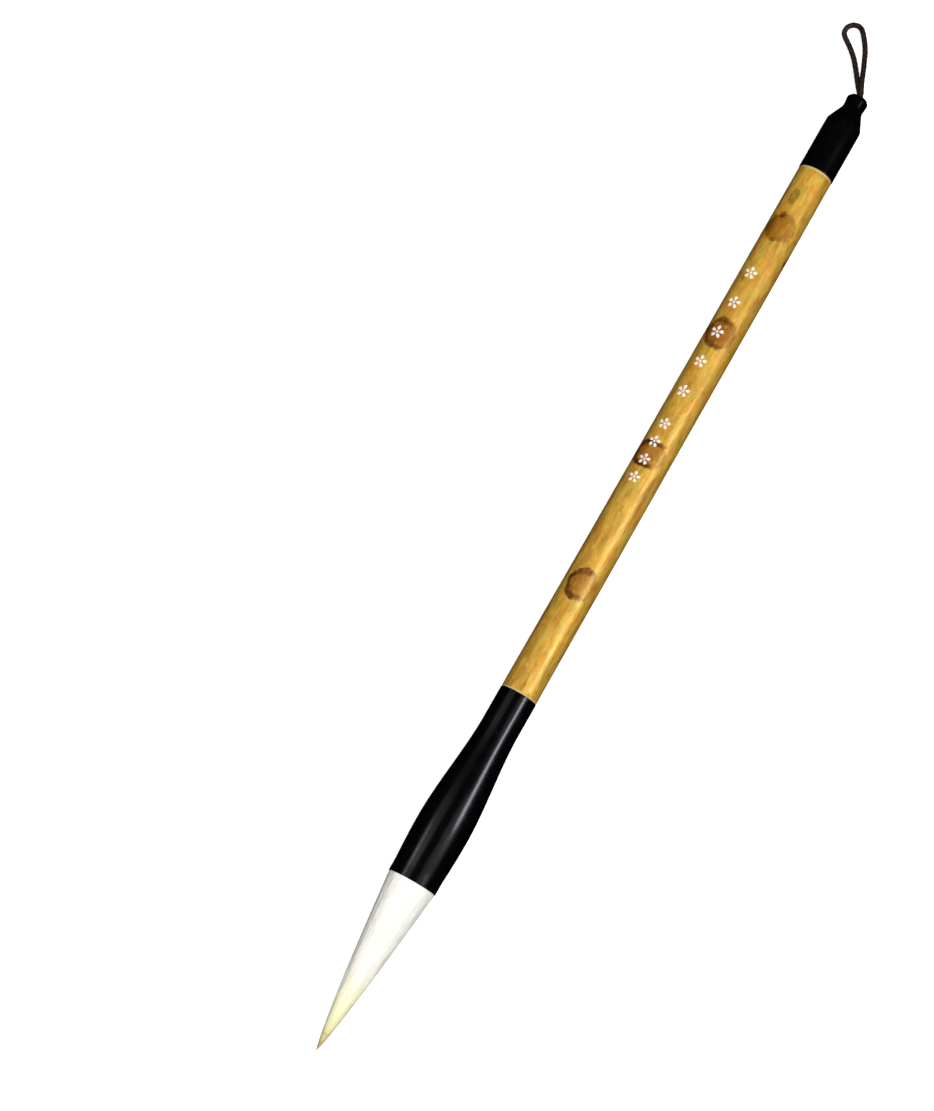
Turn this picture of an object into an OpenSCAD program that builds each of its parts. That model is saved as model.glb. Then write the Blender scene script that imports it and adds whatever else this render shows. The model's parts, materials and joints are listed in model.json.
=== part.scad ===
// Calligraphy brush, lying on a table.
//
// Every piece is drawn in the brush's own frame: z runs along its axis, from the tip of the
// hair at 0 to the end of the tail cap, and -x is the side that faces up.
// lay() puts that frame on the table: +X runs from the hair to the tail, +Z is up, and the
// origin is under the middle of the brush. The belly of the ferrule and the end of the tail
// cap's cylinder rest on the table, so the axis slopes down a little towards the tail.

/* [Hair] */
// Length of hair that shows in front of the ferrule
hair_len = 43.2; // [36:0.1:50]
// Radius of the tuft where it leaves the ferrule
hair_r = 5.8; // [5.4:0.01:5.82]
// Share of the tuft's radius that the stiff core fills
core_share = 0.55; // [0.45:0.01:0.6]
// Share of the tuft's radius up to which the short padding hair reaches
padding_share = 0.8; // [0.7:0.01:0.88]
// Depth of the tuft's root inside the ferrule
root_len = 13.2; // [12:0.1:14]

/* [Ferrule] */
// Length of the turned ferrule
ferrule_len = 49.4; // [46:0.1:56]
// Outer radius of the plain land at the mouth
mouth_r = 6.05; // [6:0.01:6.2]
// Largest radius, at the belly
belly_r = 6.42; // [6.25:0.01:6.8]
// Radius where the ferrule meets the bamboo
ferrule_end_r = 4.6; // [4.56:0.01:4.8]

/* [Handle] */
// Length of bamboo that shows between the ferrule and the tail cap
handle_len = 145.1; // [120:0.1:180]
// Radius of the bamboo at the ferrule
handle_r = 4.54; // [4.4:0.01:4.56]
// Radius of the bamboo at the tail cap
handle_tail_r = 4.34; // [4.2:0.01:4.4]
// Radius of the bamboo's natural hollow
bore_r = 2.1; // [1.6:0.1:2.4]

/* [Tail cap] */
// Length of the tail cap's straight part
cap_len = 14.4; // [13.5:0.1:18]
// Radius of the tail cap's straight part
cap_r = 4.46; // [4.42:0.01:4.6]
// Height of the sloping shoulder
shoulder_len = 4.3; // [3.6:0.1:5]
// Height of the flared knob that the loop comes out of
knob_len = 3.6; // [3.2:0.1:4.5]
// Radius of the knob's rim
knob_r = 2.7; // [2.6:0.01:2.9]

/* [Hanging loop] */
// Thickness of the waxed cord
cord_d = 1.35; // [1:0.05:1.4]

/* [Painted blossoms] */
// Spacing of the large blossoms
large_step = 8.3; // [7.5:0.1:9]
// Spacing of the small blossoms
small_step = 4.9; // [4.2:0.1:5]
// Radius of a large blossom's petal
petal_r = 0.56; // [0.4:0.01:0.6]
// Turn of the row of blossoms from the top of the handle
blossom_turn = 22; // [0:1:40]

/* [Hidden] */
$fn = 64;

// Stations along the axis.
mouth_z = hair_len;
ferrule_end_z = mouth_z + ferrule_len;
handle_end_z = ferrule_end_z + handle_len;
cap_edge_z = handle_end_z + cap_len;
neck_z = cap_edge_z + shoulder_len;
tail_z = neck_z + knob_len;

// The brush on the table: it touches at the belly and at the tail cap's edge.
land_len = 3;
belly_at = 14;
belly_z = mouth_z + belly_at;
slope = atan((belly_r - cap_r) / (cap_edge_z - belly_z));
axis_height = belly_r / cos(slope) - (tail_z / 2 - belly_z) * sin(slope);

// Ferrule: a cup for the tuft, a socket for the bamboo, and a narrow hole between them.
cup_r = 5.3;
cup_depth = 15;
lip_r = 5.88;
lip_len = 3;
vent_r = 1.5;
socket_r = 3.55;
socket_depth = 11.5;
taper_end = 41.5;

// Bamboo tenons, turned down at both ends, and the film of glue round each.
tenon_r = 3.45;
tenon_len = 11;
tail_tenon_len = 8;
skin_edge = 0.15;
skin_edge_len = 0.3;

// Tail cap: a socket, a cavity for the knot, and the hole that the cord goes through.
cap_socket_depth = 8.3;
cavity_r = 2.7;
cavity_end_z = handle_end_z + 14.6;
cord_hole_r = 1.45;
neck_r = 2.5;
knob_top_r = 2.1;
rim_z = tail_z - 0.8;

// The tuft is divided where its front half bends; the two halves meet as a ball and a cup.
flex_z = mouth_z - 12;
flex_gap = 0.3;
flex_clear = 43;
rim_back = 4.1;
mantle_end_z = 5.2;
neck_in = 0.6;
root_z = mouth_z + root_len;
waist_r = 4.45;
waist_z = root_z - 3.6;
waist_len = 2.8;
thread_r = 0.2;

// The cord's loop turns about a point just outside the knob.
pivot_out = 0.75;
pivot_z = tail_z + pivot_out;
cord_r = cord_d / 2;
leg_gap = 0.72;
knot_z = cavity_end_z - 2.2;
// The loop's route from its upper leg round to its lower leg, from the pivot:
// along the brush, to its left, and up.
loop_route = [
    [0, 0, 0.72], [1.8, 0.8, 0.65], [3.5, 1.5, 0.5], [5.2, 2.1, 0.2], [7, 2.75, -0.15], [8.9, 3.5, -0.6],
    [10.8, 4.25, -1.1], [12.6, 5.15, -1.6], [14.3, 6.2, -2.15], [15.8, 7.25, -2.6], [16.65, 8.1, -2.9],
    [16.95, 9.2, -3.1], [16.65, 10.3, -3.3], [15.85, 11.1, -3.45], [14.75, 11.4, -3.5], [13.65, 11.1, -3.5],
    [12.75, 10.2, -3.5], [11.7, 8.9, -3.35], [10.5, 7.6, -3.05], [9.2, 6.4, -2.7], [7.9, 5.4, -2.35],
    [6.6, 4.5, -2], [5.2, 3.55, -1.65], [3.7, 2.6, -1.3], [2, 1.45, -1], [0, 0, -0.72]
];

// Blossoms: four small ones nearer the hair, and five large ones.
paint_deep = 0.12;
paint_proud = 0.02;
small_share = 0.92;
small_from = 150.2;
large_from = 174;
petal_out = 1.9;
dot_share = 0.6;
blossoms = concat(
    [for (i = [0:3]) [small_from + i * small_step, small_share]],
    [for (i = [0:4]) [large_from + i * large_step, 1]]
);

// A share that rises smoothly from 0 to 1 as t goes from 0 to 1.
function ease(t) = let (s = min(1, max(0, t))) s * s * (3 - 2 * s);

// Radius of the tuft's outside at a station, in front of the ferrule and inside it.
function tuft_r(z) = z <= mouth_z
    ? hair_r * pow(max(0, z / hair_len), 0.765)
    : hair_r - (hair_r - cup_r + 0.06) * min(1, (z - mouth_z) / lip_len)
        - neck_in * ease((z - mouth_z - lip_len) / 6);

// Radius of the core at a station: it fills the whole tuft beyond the end of the mantle.
function core_r(z) = tuft_r(z) * (core_share + (1 - core_share)
    * pow(min(1, max(0, (flex_z - z) / (flex_z - mantle_end_z))), 2));

// Radius of the ferrule's outside at a distance from the mouth.
function ferrule_r(d) = d < belly_at
    ? mouth_r + (belly_r - mouth_r) * sin(90 * (d - land_len) / (belly_at - land_len))
    : belly_r - (belly_r - ferrule_end_r) * ease((d - belly_at) / (taper_end - belly_at));

// Radius of the bamboo at a station.
function bamboo_r(z) = handle_r + (handle_tail_r - handle_r) * (z - ferrule_end_z) / handle_len;

// Stations from a to b, n steps apart.
function steps(a, b, n) = [for (i = [0:n]) a + (b - a) * i / n];

// Lays the brush's own frame down on the table.
module lay() {
    translate([0, 0, axis_height]) rotate([0, 90 + slope, 0]) translate([0, 0, -tail_z / 2]) children();
}

// A turned solid from its half section, [radius, station].
module turned(points) {
    rotate_extrude() polygon(points);
}

// A straight tube between two stations.
module sleeve(inner, outer, from_z, to_z) {
    translate([0, 0, from_z]) difference() {
        cylinder(r = outer, h = to_z - from_z);
        translate([0, 0, -1]) cylinder(r = inner, h = to_z - from_z + 2);
    }
}

// A blossom's five petals and its eye, as prisms that stand out of the handle.
module blossom_prisms(z, share) {
    rotate([0, 0, 180 - blossom_turn]) translate([0, 0, z]) rotate([0, 90, 0]) {
        cylinder(r = petal_r * dot_share * share, h = 8, $fn = 24);
        for (k = [0:4])
            rotate([0, 0, 72 * k]) translate([petal_r * petal_out * share, 0, 0])
                cylinder(r = petal_r * share, h = 8, $fn = 24);
    }
}

// The thin skin of the handle that the paint fills, from the pocket's floor to a height.
module paint_skin(from_z, to_z, proud) {
    turned([
        [bamboo_r(from_z) - paint_deep, from_z], [bamboo_r(from_z) + proud, from_z],
        [bamboo_r(to_z) + proud, to_z], [bamboo_r(to_z) - paint_deep, to_z]
    ]);
}

module blossom_paint(proud) {
    for (b = blossoms)
        intersection() {
            paint_skin(b[0] - 3, b[0] + 3, proud);
            blossom_prisms(b[0], b[1]);
        }
}

module bamboo_handle() {
    color("goldenrod") lay() difference() {
        turned([
            [bore_r, ferrule_end_z - tenon_len], [tenon_r, ferrule_end_z - tenon_len],
            [tenon_r, ferrule_end_z], [handle_r - skin_edge, ferrule_end_z],
            [bamboo_r(ferrule_end_z + skin_edge_len), ferrule_end_z + skin_edge_len],
            [bamboo_r(handle_end_z - skin_edge_len), handle_end_z - skin_edge_len],
            [handle_tail_r - skin_edge, handle_end_z], [tenon_r, handle_end_z],
            [tenon_r, handle_end_z + tail_tenon_len], [bore_r, handle_end_z + tail_tenon_len]
        ]);
        blossom_paint(1);
    }
}

module painted_blossoms() {
    color("white") lay() blossom_paint(paint_proud);
}

module ferrule() {
    color("black") lay() turned(concat(
        [
            [cup_r, mouth_z + cup_depth], [cup_r, mouth_z + lip_len], [lip_r, mouth_z],
            [mouth_r - 0.05, mouth_z], [mouth_r, mouth_z + 0.1]
        ],
        [for (d = steps(land_len, taper_end, 30)) [ferrule_r(d), mouth_z + d]],
        [
            [ferrule_end_r, ferrule_end_z - 0.12], [ferrule_end_r - 0.12, ferrule_end_z],
            [socket_r, ferrule_end_z], [socket_r, ferrule_end_z - socket_depth],
            [vent_r, ferrule_end_z - socket_depth], [vent_r, mouth_z + cup_depth]
        ]
    ));
}

module tail_cap() {
    color("black") lay() turned([
        [socket_r, handle_end_z], [cap_r - 0.12, handle_end_z], [cap_r, handle_end_z + 0.12],
        [cap_r, cap_edge_z - 0.2], [cap_r - 0.1, cap_edge_z], [neck_r + 0.1, neck_z - 0.2],
        [neck_r, neck_z + 0.1], [neck_r + 0.02, neck_z + 0.5], [knob_r, rim_z - 0.3], [knob_r, rim_z],
        [knob_top_r, tail_z], [cord_hole_r + 0.15, tail_z], [cord_hole_r, tail_z - 0.15],
        [cord_hole_r, cavity_end_z], [cavity_r, cavity_end_z],
        [cavity_r, handle_end_z + cap_socket_depth], [socket_r, handle_end_z + cap_socket_depth]
    ]);
}

// Quarter arc of the ball at the bending place, between two shares of its radius.
function ball_arc(from_share, to_share, n) = [
    for (s = steps(from_share, to_share, n)) [tuft_r(flex_z) * s, flex_z - tuft_r(flex_z) * sqrt(1 - s * s)]
];

module core_hair_root() {
    color("tan") lay() turned(concat(
        [[0, root_z]],
        [for (z = steps(root_z, flex_z, 14)) if (z > flex_z) [tuft_r(z) * core_share, z]],
        ball_arc(core_share, 0, 6)
    ));
}

module padding_hair() {
    thread_from = root_z - 3;
    thread_to = root_z - 1.2;
    color("wheat") lay() difference() {
        turned(concat(
            [for (z = steps(root_z, flex_z, 14)) if (z > flex_z) [tuft_r(z) * core_share, z]],
            ball_arc(core_share, padding_share, 3),
            [for (z = steps(flex_z, root_z, 14)) if (z > flex_z) [tuft_r(z) * padding_share, z]]
        ));
        sleeve(1, core_share * tuft_r(root_z) + 2 * thread_r, thread_from, thread_to);
    }
}

module mantle_hair_root() {
    color("ivory") lay() difference() {
        turned(concat(
            [for (z = steps(root_z, flex_z, 14)) if (z > flex_z) [tuft_r(z) * padding_share, z]],
            ball_arc(padding_share, 1, 3),
            [for (z = steps(flex_z, root_z, 14)) if (z > flex_z) [tuft_r(z), z]]
        ));
        sleeve(waist_r, 6, waist_z, waist_z + waist_len);
    }
}

// The cup in the bending half: a sphere round the same centre, up to an angle from the axis.
cup_ball_r = tuft_r(flex_z) + flex_gap;
function cup_arc(from_angle, to_angle, n) = [
    for (a = steps(from_angle, to_angle, n)) [cup_ball_r * sin(a), flex_z - cup_ball_r * cos(a)]
];
core_angle = asin(core_share * tuft_r(flex_z - cup_ball_r) / cup_ball_r);
core_front_z = flex_z - cup_ball_r * cos(core_angle);

module core_hair_tip() {
    color("tan") lay() turned(concat(
        cup_arc(0, core_angle, 4),
        [for (z = steps(core_front_z, mantle_end_z, 12)) if (z < core_front_z) [core_r(z), z]],
        [for (z = steps(mantle_end_z, 0, 8)) if (z < mantle_end_z) [tuft_r(z), z]]
    ));
}

module mantle_hair_tip() {
    color("ivory") lay() turned(concat(
        cup_arc(core_angle, flex_clear, 4),
        [for (z = steps(flex_z - rim_back, mantle_end_z, 12)) if (z > mantle_end_z) [tuft_r(z), z]],
        [for (z = steps(mantle_end_z, core_front_z, 12)) if (z < core_front_z) [core_r(z), z]]
    ));
}

// Turns of thread side by side round a radius.
module thread_turns(count, radius, from_z) {
    for (i = [0:count - 1])
        translate([0, 0, from_z + i * 2.1 * thread_r]) rotate_extrude()
            translate([radius + thread_r, 0]) circle(r = thread_r, $fn = 24);
}

module core_thread() {
    color("firebrick") lay() thread_turns(3, core_share * tuft_r(root_z), root_z - 2.5);
}

module root_thread() {
    color("white") lay() thread_turns(6, waist_r, waist_z + 0.35);
}

module root_rosin() {
    color("saddlebrown") lay() turned([
        [0, root_z], [4.5, root_z], [4.3, root_z + 0.7], [3.4, root_z + 1], [0, root_z + 1]
    ]);
}

module cup_glue() {
    glue_r = 4.92;
    color("khaki") lay() turned([
        [vent_r, mouth_z + cup_depth], [vent_r, root_z + 1], [glue_r, root_z + 1],
        [glue_r, mouth_z + 9], [cup_r, mouth_z + 9], [cup_r, mouth_z + cup_depth]
    ]);
}

module ferrule_joint_glue() {
    color("khaki") lay() sleeve(tenon_r, socket_r, ferrule_end_z - tenon_len, ferrule_end_z - 0.4);
}

module cap_joint_glue() {
    color("khaki") lay() sleeve(tenon_r, socket_r, handle_end_z + 0.4, handle_end_z + tail_tenon_len);
}

// A closed tube of 8 sides along a list of points.
function ring_at(points, i, r) =
    let (
        last = len(points) - 1,
        t = points[min(last, i + 1)] - points[max(0, i - 1)],
        side = cross(t, [1, 0, 0]) / norm(cross(t, [1, 0, 0])),
        up = cross(side, t) / norm(t)
    )
    [for (k = [0:7]) points[i] + r * (cos(45 * k) * side + sin(45 * k) * up)];

module tube(points, r) {
    n = len(points);
    polyhedron(
        points = [for (i = [0:n - 1]) each ring_at(points, i, r)],
        faces = concat(
            [[for (k = [0:7]) k]],
            [for (i = [0:n - 2]) for (k = [0:7])
                [8 * i + k, 8 * (i + 1) + k, 8 * (i + 1) + (k + 1) % 8, 8 * i + (k + 1) % 8]],
            [[for (k = [0:7]) 8 * (n - 1) + 7 - k]]
        )
    );
}

// The two ends of the cord inside the tail cap: both legs through the hole, and an overhand knot.
module cord_knot() {
    color("saddlebrown") lay() {
        for (side = [-1, 1])
            translate([side * leg_gap, 0, knot_z + 0.3])
                cylinder(r = cord_r, h = pivot_z - leg_gap - knot_z - 0.3);
        for (turn = [0:2])
            translate([0, 0, knot_z - 1.1 + turn * 1.1]) rotate([turn * 8 - 8, 8 - turn * 8, 0])
                rotate_extrude() translate([1.35, 0]) circle(r = 0.6, $fn = 24);
        translate([0, 0, knot_z - 1.3]) cylinder(r = 1.2, h = 2.8);
    }
}

module hanging_loop() {
    color("saddlebrown") lay() tube([for (p = loop_route) [-p[2], p[1], pivot_z + p[0]]], cord_r);
}

bamboo_handle();
ferrule();
tail_cap();
painted_blossoms();
core_hair_root();
padding_hair();
mantle_hair_root();
core_hair_tip();
mantle_hair_tip();
core_thread();
root_thread();
root_rosin();
cup_glue();
ferrule_joint_glue();
cap_joint_glue();
cord_knot();
hanging_loop();
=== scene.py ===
import json
import math
import random

import bmesh
import bpy
import numpy as np
from mathutils import Matrix, Vector


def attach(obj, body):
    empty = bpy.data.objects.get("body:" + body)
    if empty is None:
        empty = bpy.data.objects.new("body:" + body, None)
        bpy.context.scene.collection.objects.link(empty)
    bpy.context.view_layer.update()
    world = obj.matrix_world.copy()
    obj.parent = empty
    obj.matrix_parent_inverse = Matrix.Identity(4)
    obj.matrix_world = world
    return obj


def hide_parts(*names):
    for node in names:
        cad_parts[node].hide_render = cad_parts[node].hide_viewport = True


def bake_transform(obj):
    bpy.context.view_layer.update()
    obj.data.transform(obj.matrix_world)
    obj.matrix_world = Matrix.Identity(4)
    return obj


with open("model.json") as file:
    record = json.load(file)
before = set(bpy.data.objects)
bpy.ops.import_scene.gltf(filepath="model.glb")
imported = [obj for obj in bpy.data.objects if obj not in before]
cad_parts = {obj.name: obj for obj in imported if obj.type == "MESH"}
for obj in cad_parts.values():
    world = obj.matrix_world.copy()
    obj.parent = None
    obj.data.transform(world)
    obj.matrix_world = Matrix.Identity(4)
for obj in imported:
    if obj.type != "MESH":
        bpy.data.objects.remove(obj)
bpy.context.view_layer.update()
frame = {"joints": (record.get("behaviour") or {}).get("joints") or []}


# ---------------------------------------------------------------------------------- camera
# The brush lies on a table with its hair towards the viewer. The camera looks steeply down
# on it from beyond the hair, a little to the brush's own right.
view_azimuth = math.radians(-60.42)
view_elevation = math.radians(78.66)
view_distance = 0.6601
view_aim = Vector((-0.01356, 0.02716, 0.0))
view_back = Vector((
    math.sin(view_azimuth) * math.cos(view_elevation),
    -math.cos(view_azimuth) * math.cos(view_elevation),
    math.sin(view_elevation),
))

camera = bpy.data.objects.new("camera", bpy.data.cameras.new("camera"))
camera.data.lens = 91.1
camera.data.sensor_width = 36
camera.rotation_mode = "QUATERNION"
camera.location = view_aim + view_back * view_distance
camera.rotation_quaternion = (-view_back).to_track_quat("-Z", "Y")
camera.data.clip_start = 0.01
camera.data.clip_end = 50
bpy.context.scene.collection.objects.link(camera)
bpy.context.scene.camera = camera


# ---------------------------------------------------------------------------------- studio
# A white table and soft lamps: a broad one overhead, and others that only show in the gloss.
# A strip on the brush's right draws the bright line down the lacquer, in front of a wide dim
# panel, and two panels and a small lamp on its left brighten the ferrule towards its mouth.
bpy.context.scene.view_settings.view_transform = "Standard"
bpy.context.scene.view_settings.look = "None"


def add(tree, kind, values={}, **settings):
    """A node of that kind. values gives its inputs, each as a number, a colour or a socket."""
    made = tree.nodes.new(kind)
    for key, value in settings.items():
        setattr(made, key, value)
    for key, value in values.items():
        if isinstance(value, bpy.types.NodeSocket):
            tree.links.new(value, made.inputs[key])
        else:
            made.inputs[key].default_value = value
    return made


def soft_lamp(name, place, aim, size, radiance, only_gloss=True):
    """A rectangular lamp; its first side lies level, and its back is dark. It shows only in the
    gloss of the pieces, or lights them and shows in no gloss."""
    lamp = bpy.data.objects.new(name, bpy.data.lights.new(name, "AREA"))
    lamp.data.shape = "RECTANGLE"
    lamp.data.size, lamp.data.size_y = size
    lamp.data.energy = radiance * math.pi * size[0] * size[1]
    lamp.location = place
    lamp.rotation_mode = "QUATERNION"
    lamp.rotation_quaternion = (Vector(aim) - Vector(place)).to_track_quat("-Z", "Y")
    lamp.data.color = (0.9, 0.93, 1.0) if only_gloss else (1.0, 1.0, 1.0)
    lamp.visible_camera = False
    lamp.visible_glossy = only_gloss
    lamp.visible_diffuse = not only_gloss
    bpy.context.scene.collection.objects.link(lamp)


soft_lamp("overhead", (0.0, -0.18, 1.1), (0, 0, 0), (1.1, 0.9), 5.5, only_gloss=False)
soft_lamp("strip", (0.09, -0.360, 0.347), (0.03, 0, 0), (0.19, 0.09), 12)
soft_lamp("right_panel", (-0.04, -0.386, 0.46), (-0.04, 0, 0), (0.26, 0.5), 0.52)
soft_lamp("left_panel", (-0.05, 0.369, 0.473), (-0.05, 0, 0), (0.3, 0.42), 0.4)
soft_lamp("mouth_panel", (-0.13, 0.36, 0.46), (-0.09, 0, 0), (0.14, 0.34), 0.7)
soft_lamp("spot", (-0.07, 0.37, 0.34), (-0.08, 0, 0), (0.06, 0.06), 4)

table_mesh = bpy.data.meshes.new("table")
table_mesh.from_pydata([(-6, -6, 0), (6, -6, 0), (6, 6, 0), (-6, 6, 0)], [], [(0, 1, 2, 3)])
table = bpy.data.objects.new("table", table_mesh)
bpy.context.scene.collection.objects.link(table)
table.visible_glossy = False
white_top = bpy.data.materials.new("white_top")
white_top.use_nodes = True
top_tree = white_top.node_tree
top_tree.nodes.clear()
seen = add(top_tree, "ShaderNodeLightPath").outputs["Is Camera Ray"]
matte = add(top_tree, "ShaderNodeBsdfDiffuse", {"Color": (0.8, 0.8, 0.8, 1)})
dim_matte = add(top_tree, "ShaderNodeBsdfDiffuse", {"Color": (0.08, 0.08, 0.08, 1)})
glow = add(top_tree, "ShaderNodeEmission", {"Color": (1, 1, 1, 1), "Strength": 0.6})
lit = add(top_tree, "ShaderNodeAddShader", {0: matte.outputs[0], 1: glow.outputs[0]})
either = add(top_tree, "ShaderNodeMixShader", {"Fac": seen, 1: dim_matte.outputs[0], 2: lit.outputs[0]})
add(top_tree, "ShaderNodeOutputMaterial", {"Surface": either.outputs[0]})
table_mesh.materials.append(white_top)

room = bpy.data.worlds.new("room")
bpy.context.scene.world = room
room.use_nodes = True
room_tree = room.node_tree
room_tree.nodes.clear()
seen = add(room_tree, "ShaderNodeLightPath").outputs["Is Camera Ray"]
brightness = add(room_tree, "ShaderNodeMapRange", {"Value": seen, "To Min": 0.12, "To Max": 1.0})
sky = add(room_tree, "ShaderNodeBackground", {"Color": (1, 1, 1, 1), "Strength": brightness.outputs[0]})
add(room_tree, "ShaderNodeOutputWorld", {"Surface": sky.outputs[0]})
room.cycles_visibility.glossy = False


# ---------------------------------------------------------------------------- hanging loop
# A thin dark brown waxed cord, laid up from three strands, hangs the brush on a rack. Both
# of its legs leave one hole in the tail cap's knob, and the loop droops onto the table.
joints = {joint["name"]: joint for joint in frame["joints"]}
along = Vector(joints["loop_swivel"]["axis"]).normalized()
up = Vector(joints["loop_swing"]["axis"]).normalized()
left = up.cross(along)
MM = 0.001
BRUSH_LEN = 260
tip = Vector(joints["loop_swivel"]["pos_m"]) - along * BRUSH_LEN * MM
# The brush's own frame, in millimetres: station from the tip of the hair, left, and up.
brush_frame = Matrix.Translation(tip) @ Matrix((along, left, up)).transposed().to_4x4()
brush_frame = brush_frame @ Matrix.Scale(MM, 4)
brush_turn = Matrix((along, left, up)).transposed().to_euler()


def make_piece(name, corners, faces, material):
    """A piece from corners in the brush's own frame."""
    mesh = bpy.data.meshes.new(name)
    mesh.from_pydata(corners, [], faces)
    mesh.transform(brush_frame)
    mesh.materials.append(material)
    mesh.shade_smooth()
    piece = bpy.data.objects.new(name, mesh)
    bpy.context.scene.collection.objects.link(piece)
    return piece


def smooth_route(points, step):
    """Points at even steps along a smooth curve through the given points."""
    knots = [2 * points[0] - points[1], *points, 2 * points[-1] - points[-2]]
    fine = []
    for a, b, c, d in zip(knots, knots[1:], knots[2:], knots[3:]):
        for i in range(40):
            t = i / 40
            fine.append(0.5 * (2 * b + (c - a) * t + (2 * a - 5 * b + 4 * c - d) * t ** 2
                               + (3 * b - a - 3 * c + d) * t ** 3))
    fine.append(knots[-2].copy())
    reach = np.concatenate([[0], np.cumsum([(q - p).length for p, q in zip(fine, fine[1:])])])
    count = max(2, round(reach[-1] / step))
    wanted = np.linspace(0, reach[-1], count + 1)
    axes = [np.interp(wanted, reach, [p[k] for p in fine]) for k in range(3)]
    return [Vector(p) for p in zip(*axes)]


def laid_cord(name, route, radius, material, strands=3, lay_length=4.2, sides=24):
    """A cord along a route, with the ridges of its twisted strands. Its UV map holds the turn
    round it and the run along it."""
    corners, faces, shares = [], [], []
    tangents = [(route[min(i + 1, len(route) - 1)] - route[max(i - 1, 0)]).normalized()
                for i in range(len(route))]
    side = tangents[0].cross(Vector((0.1, 1, 0.3))).normalized()
    run = 0.0
    for i, (point, tangent) in enumerate(zip(route, tangents)):
        if i:
            run += (point - route[i - 1]).length
            side = (side - tangent * side.dot(tangent)).normalized()
        across = tangent.cross(side)
        for k in range(sides):
            turn = 2 * math.pi * k / sides
            ridge = abs(math.cos(strands * (turn - 2 * math.pi * run / lay_length) / 2))
            reach = radius * (0.92 + 0.08 * ridge)
            corners.append(point + (side * math.cos(turn) + across * math.sin(turn)) * reach)
            shares.append(run)
    for i in range(len(route) - 1):
        for k in range(sides):
            k2 = (k + 1) % sides
            faces.append((i * sides + k, i * sides + k2, (i + 1) * sides + k2, (i + 1) * sides + k))
    faces.append(tuple(range(sides))[::-1])
    faces.append(tuple((len(route) - 1) * sides + k for k in range(sides)))
    piece = make_piece(name, corners, faces, material)
    uv = piece.data.uv_layers.new(name="lay")
    for loop in piece.data.loops:
        turn = loop.vertex_index % sides / sides
        uv.data[loop.index].uv = (turn, shares[loop.vertex_index] / 40)
    return piece


def surface(name):
    """A new material: its node tree and its main shader."""
    material = bpy.data.materials.new(name)
    material.use_nodes = True
    tree = material.node_tree
    return material, tree, tree.nodes["Principled BSDF"]


def brush_coordinates(tree, stretch=(1, 1, 1)):
    """Where a point is in the brush's own frame, in millimetres divided by stretch."""
    at = add(tree, "ShaderNodeTexCoord").outputs["Object"]
    laid = add(tree, "ShaderNodeMapping", {
        "Vector": at, "Location": tip, "Rotation": brush_turn, "Scale": (MM, MM, MM)},
        vector_type="TEXTURE").outputs[0]
    return add(tree, "ShaderNodeVectorMath", {0: laid, 1: stretch}, operation="DIVIDE").outputs[0]


def cloudy(tree, at, scale, detail=3.0, roughness=0.5, distortion=0.0):
    """Noise from 0 to 1 over coordinates."""
    return add(tree, "ShaderNodeTexNoise", {
        "Vector": at, "Scale": scale, "Detail": detail, "Roughness": roughness,
        "Distortion": distortion}).outputs[0]


def spread(tree, value, low, high, to_low=0.0, to_high=1.0):
    """A value from low to high brought smoothly to the range from to_low to to_high."""
    return add(tree, "ShaderNodeMapRange", {
        "Value": value, "From Min": low, "From Max": high, "To Min": to_low, "To Max": to_high},
        interpolation_type="SMOOTHSTEP").outputs[0]


def sums(tree, operation, a, b=0.0, c=0.0):
    """One step of arithmetic on values."""
    return add(tree, "ShaderNodeMath", {0: a, 1: b, 2: c}, operation=operation).outputs[0]


def paint_over(tree, share, under, over, way="MIX"):
    """The colour under, with the colour over laid on it by a share."""
    return add(tree, "ShaderNodeMix", {0: share, 6: under, 7: over},
               data_type="RGBA", blend_type=way).outputs[2]


def relief(tree, shader, height, depth_mm, strength=1.0):
    """Fine relief on a shader's surface, from heights of 0 to 1."""
    bump = add(tree, "ShaderNodeBump", {
        "Height": height, "Distance": depth_mm * MM, "Strength": strength})
    tree.links.new(bump.outputs[0], shader.inputs["Normal"])


def waxed_cord():
    """Dark brown waxed cord: darker and shinier in some patches, lighter and duller in others, with faint
    pale streaks.
    """
    material, tree, shader = surface("waxed_cord")
    at = brush_coordinates(tree)
    worn = cloudy(tree, at, 1.6, 4, 0.6)
    fibre = cloudy(tree, brush_coordinates(tree, (1, 0.3, 0.3)), 5, 3, 0.6)
    tone = paint_over(tree, spread(tree, worn, 0.35, 0.7), (0.010, 0.006, 0.005, 1), (0.042, 0.024, 0.017, 1))
    tone = paint_over(tree, spread(tree, fibre, 0.55, 0.8, 0, 0.35), tone, (0.085, 0.052, 0.036, 1))
    tree.links.new(tone, shader.inputs["Base Color"])
    tree.links.new(spread(tree, worn, 0.3, 0.75, 0.36, 0.58), shader.inputs["Roughness"])
    relief(tree, shader, fibre, 0.03)
    return material


CORD_D = 1.35
PIVOT = 260.75
# The route from the upper leg round to the lower one, from the point that the loop swings
# about: along the brush, to its left, and up.
loop_route = [
    (-1.4, 0, 0.7), (0, 0, 0.72), (1.8, 0.8, 0.65), (3.5, 1.5, 0.5), (5.2, 2.1, 0.2), (7, 2.75, -0.15),
    (8.9, 3.5, -0.6), (10.8, 4.25, -1.1), (12.6, 5.15, -1.6), (14.3, 6.2, -2.15), (15.8, 7.25, -2.6),
    (16.65, 8.1, -2.9), (16.95, 9.2, -3.1), (16.65, 10.3, -3.3), (15.85, 11.1, -3.45), (14.75, 11.4, -3.5),
    (13.65, 11.1, -3.5), (12.75, 10.2, -3.5), (11.7, 8.9, -3.35), (10.5, 7.6, -3.05), (9.2, 6.4, -2.7),
    (7.9, 5.4, -2.35), (6.6, 4.5, -2), (5.2, 3.55, -1.65), (3.7, 2.6, -1.3), (2, 1.45, -1),
    (0, 0, -0.72), (-1.4, 0, -0.7),
]
cord_material = waxed_cord()
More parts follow.
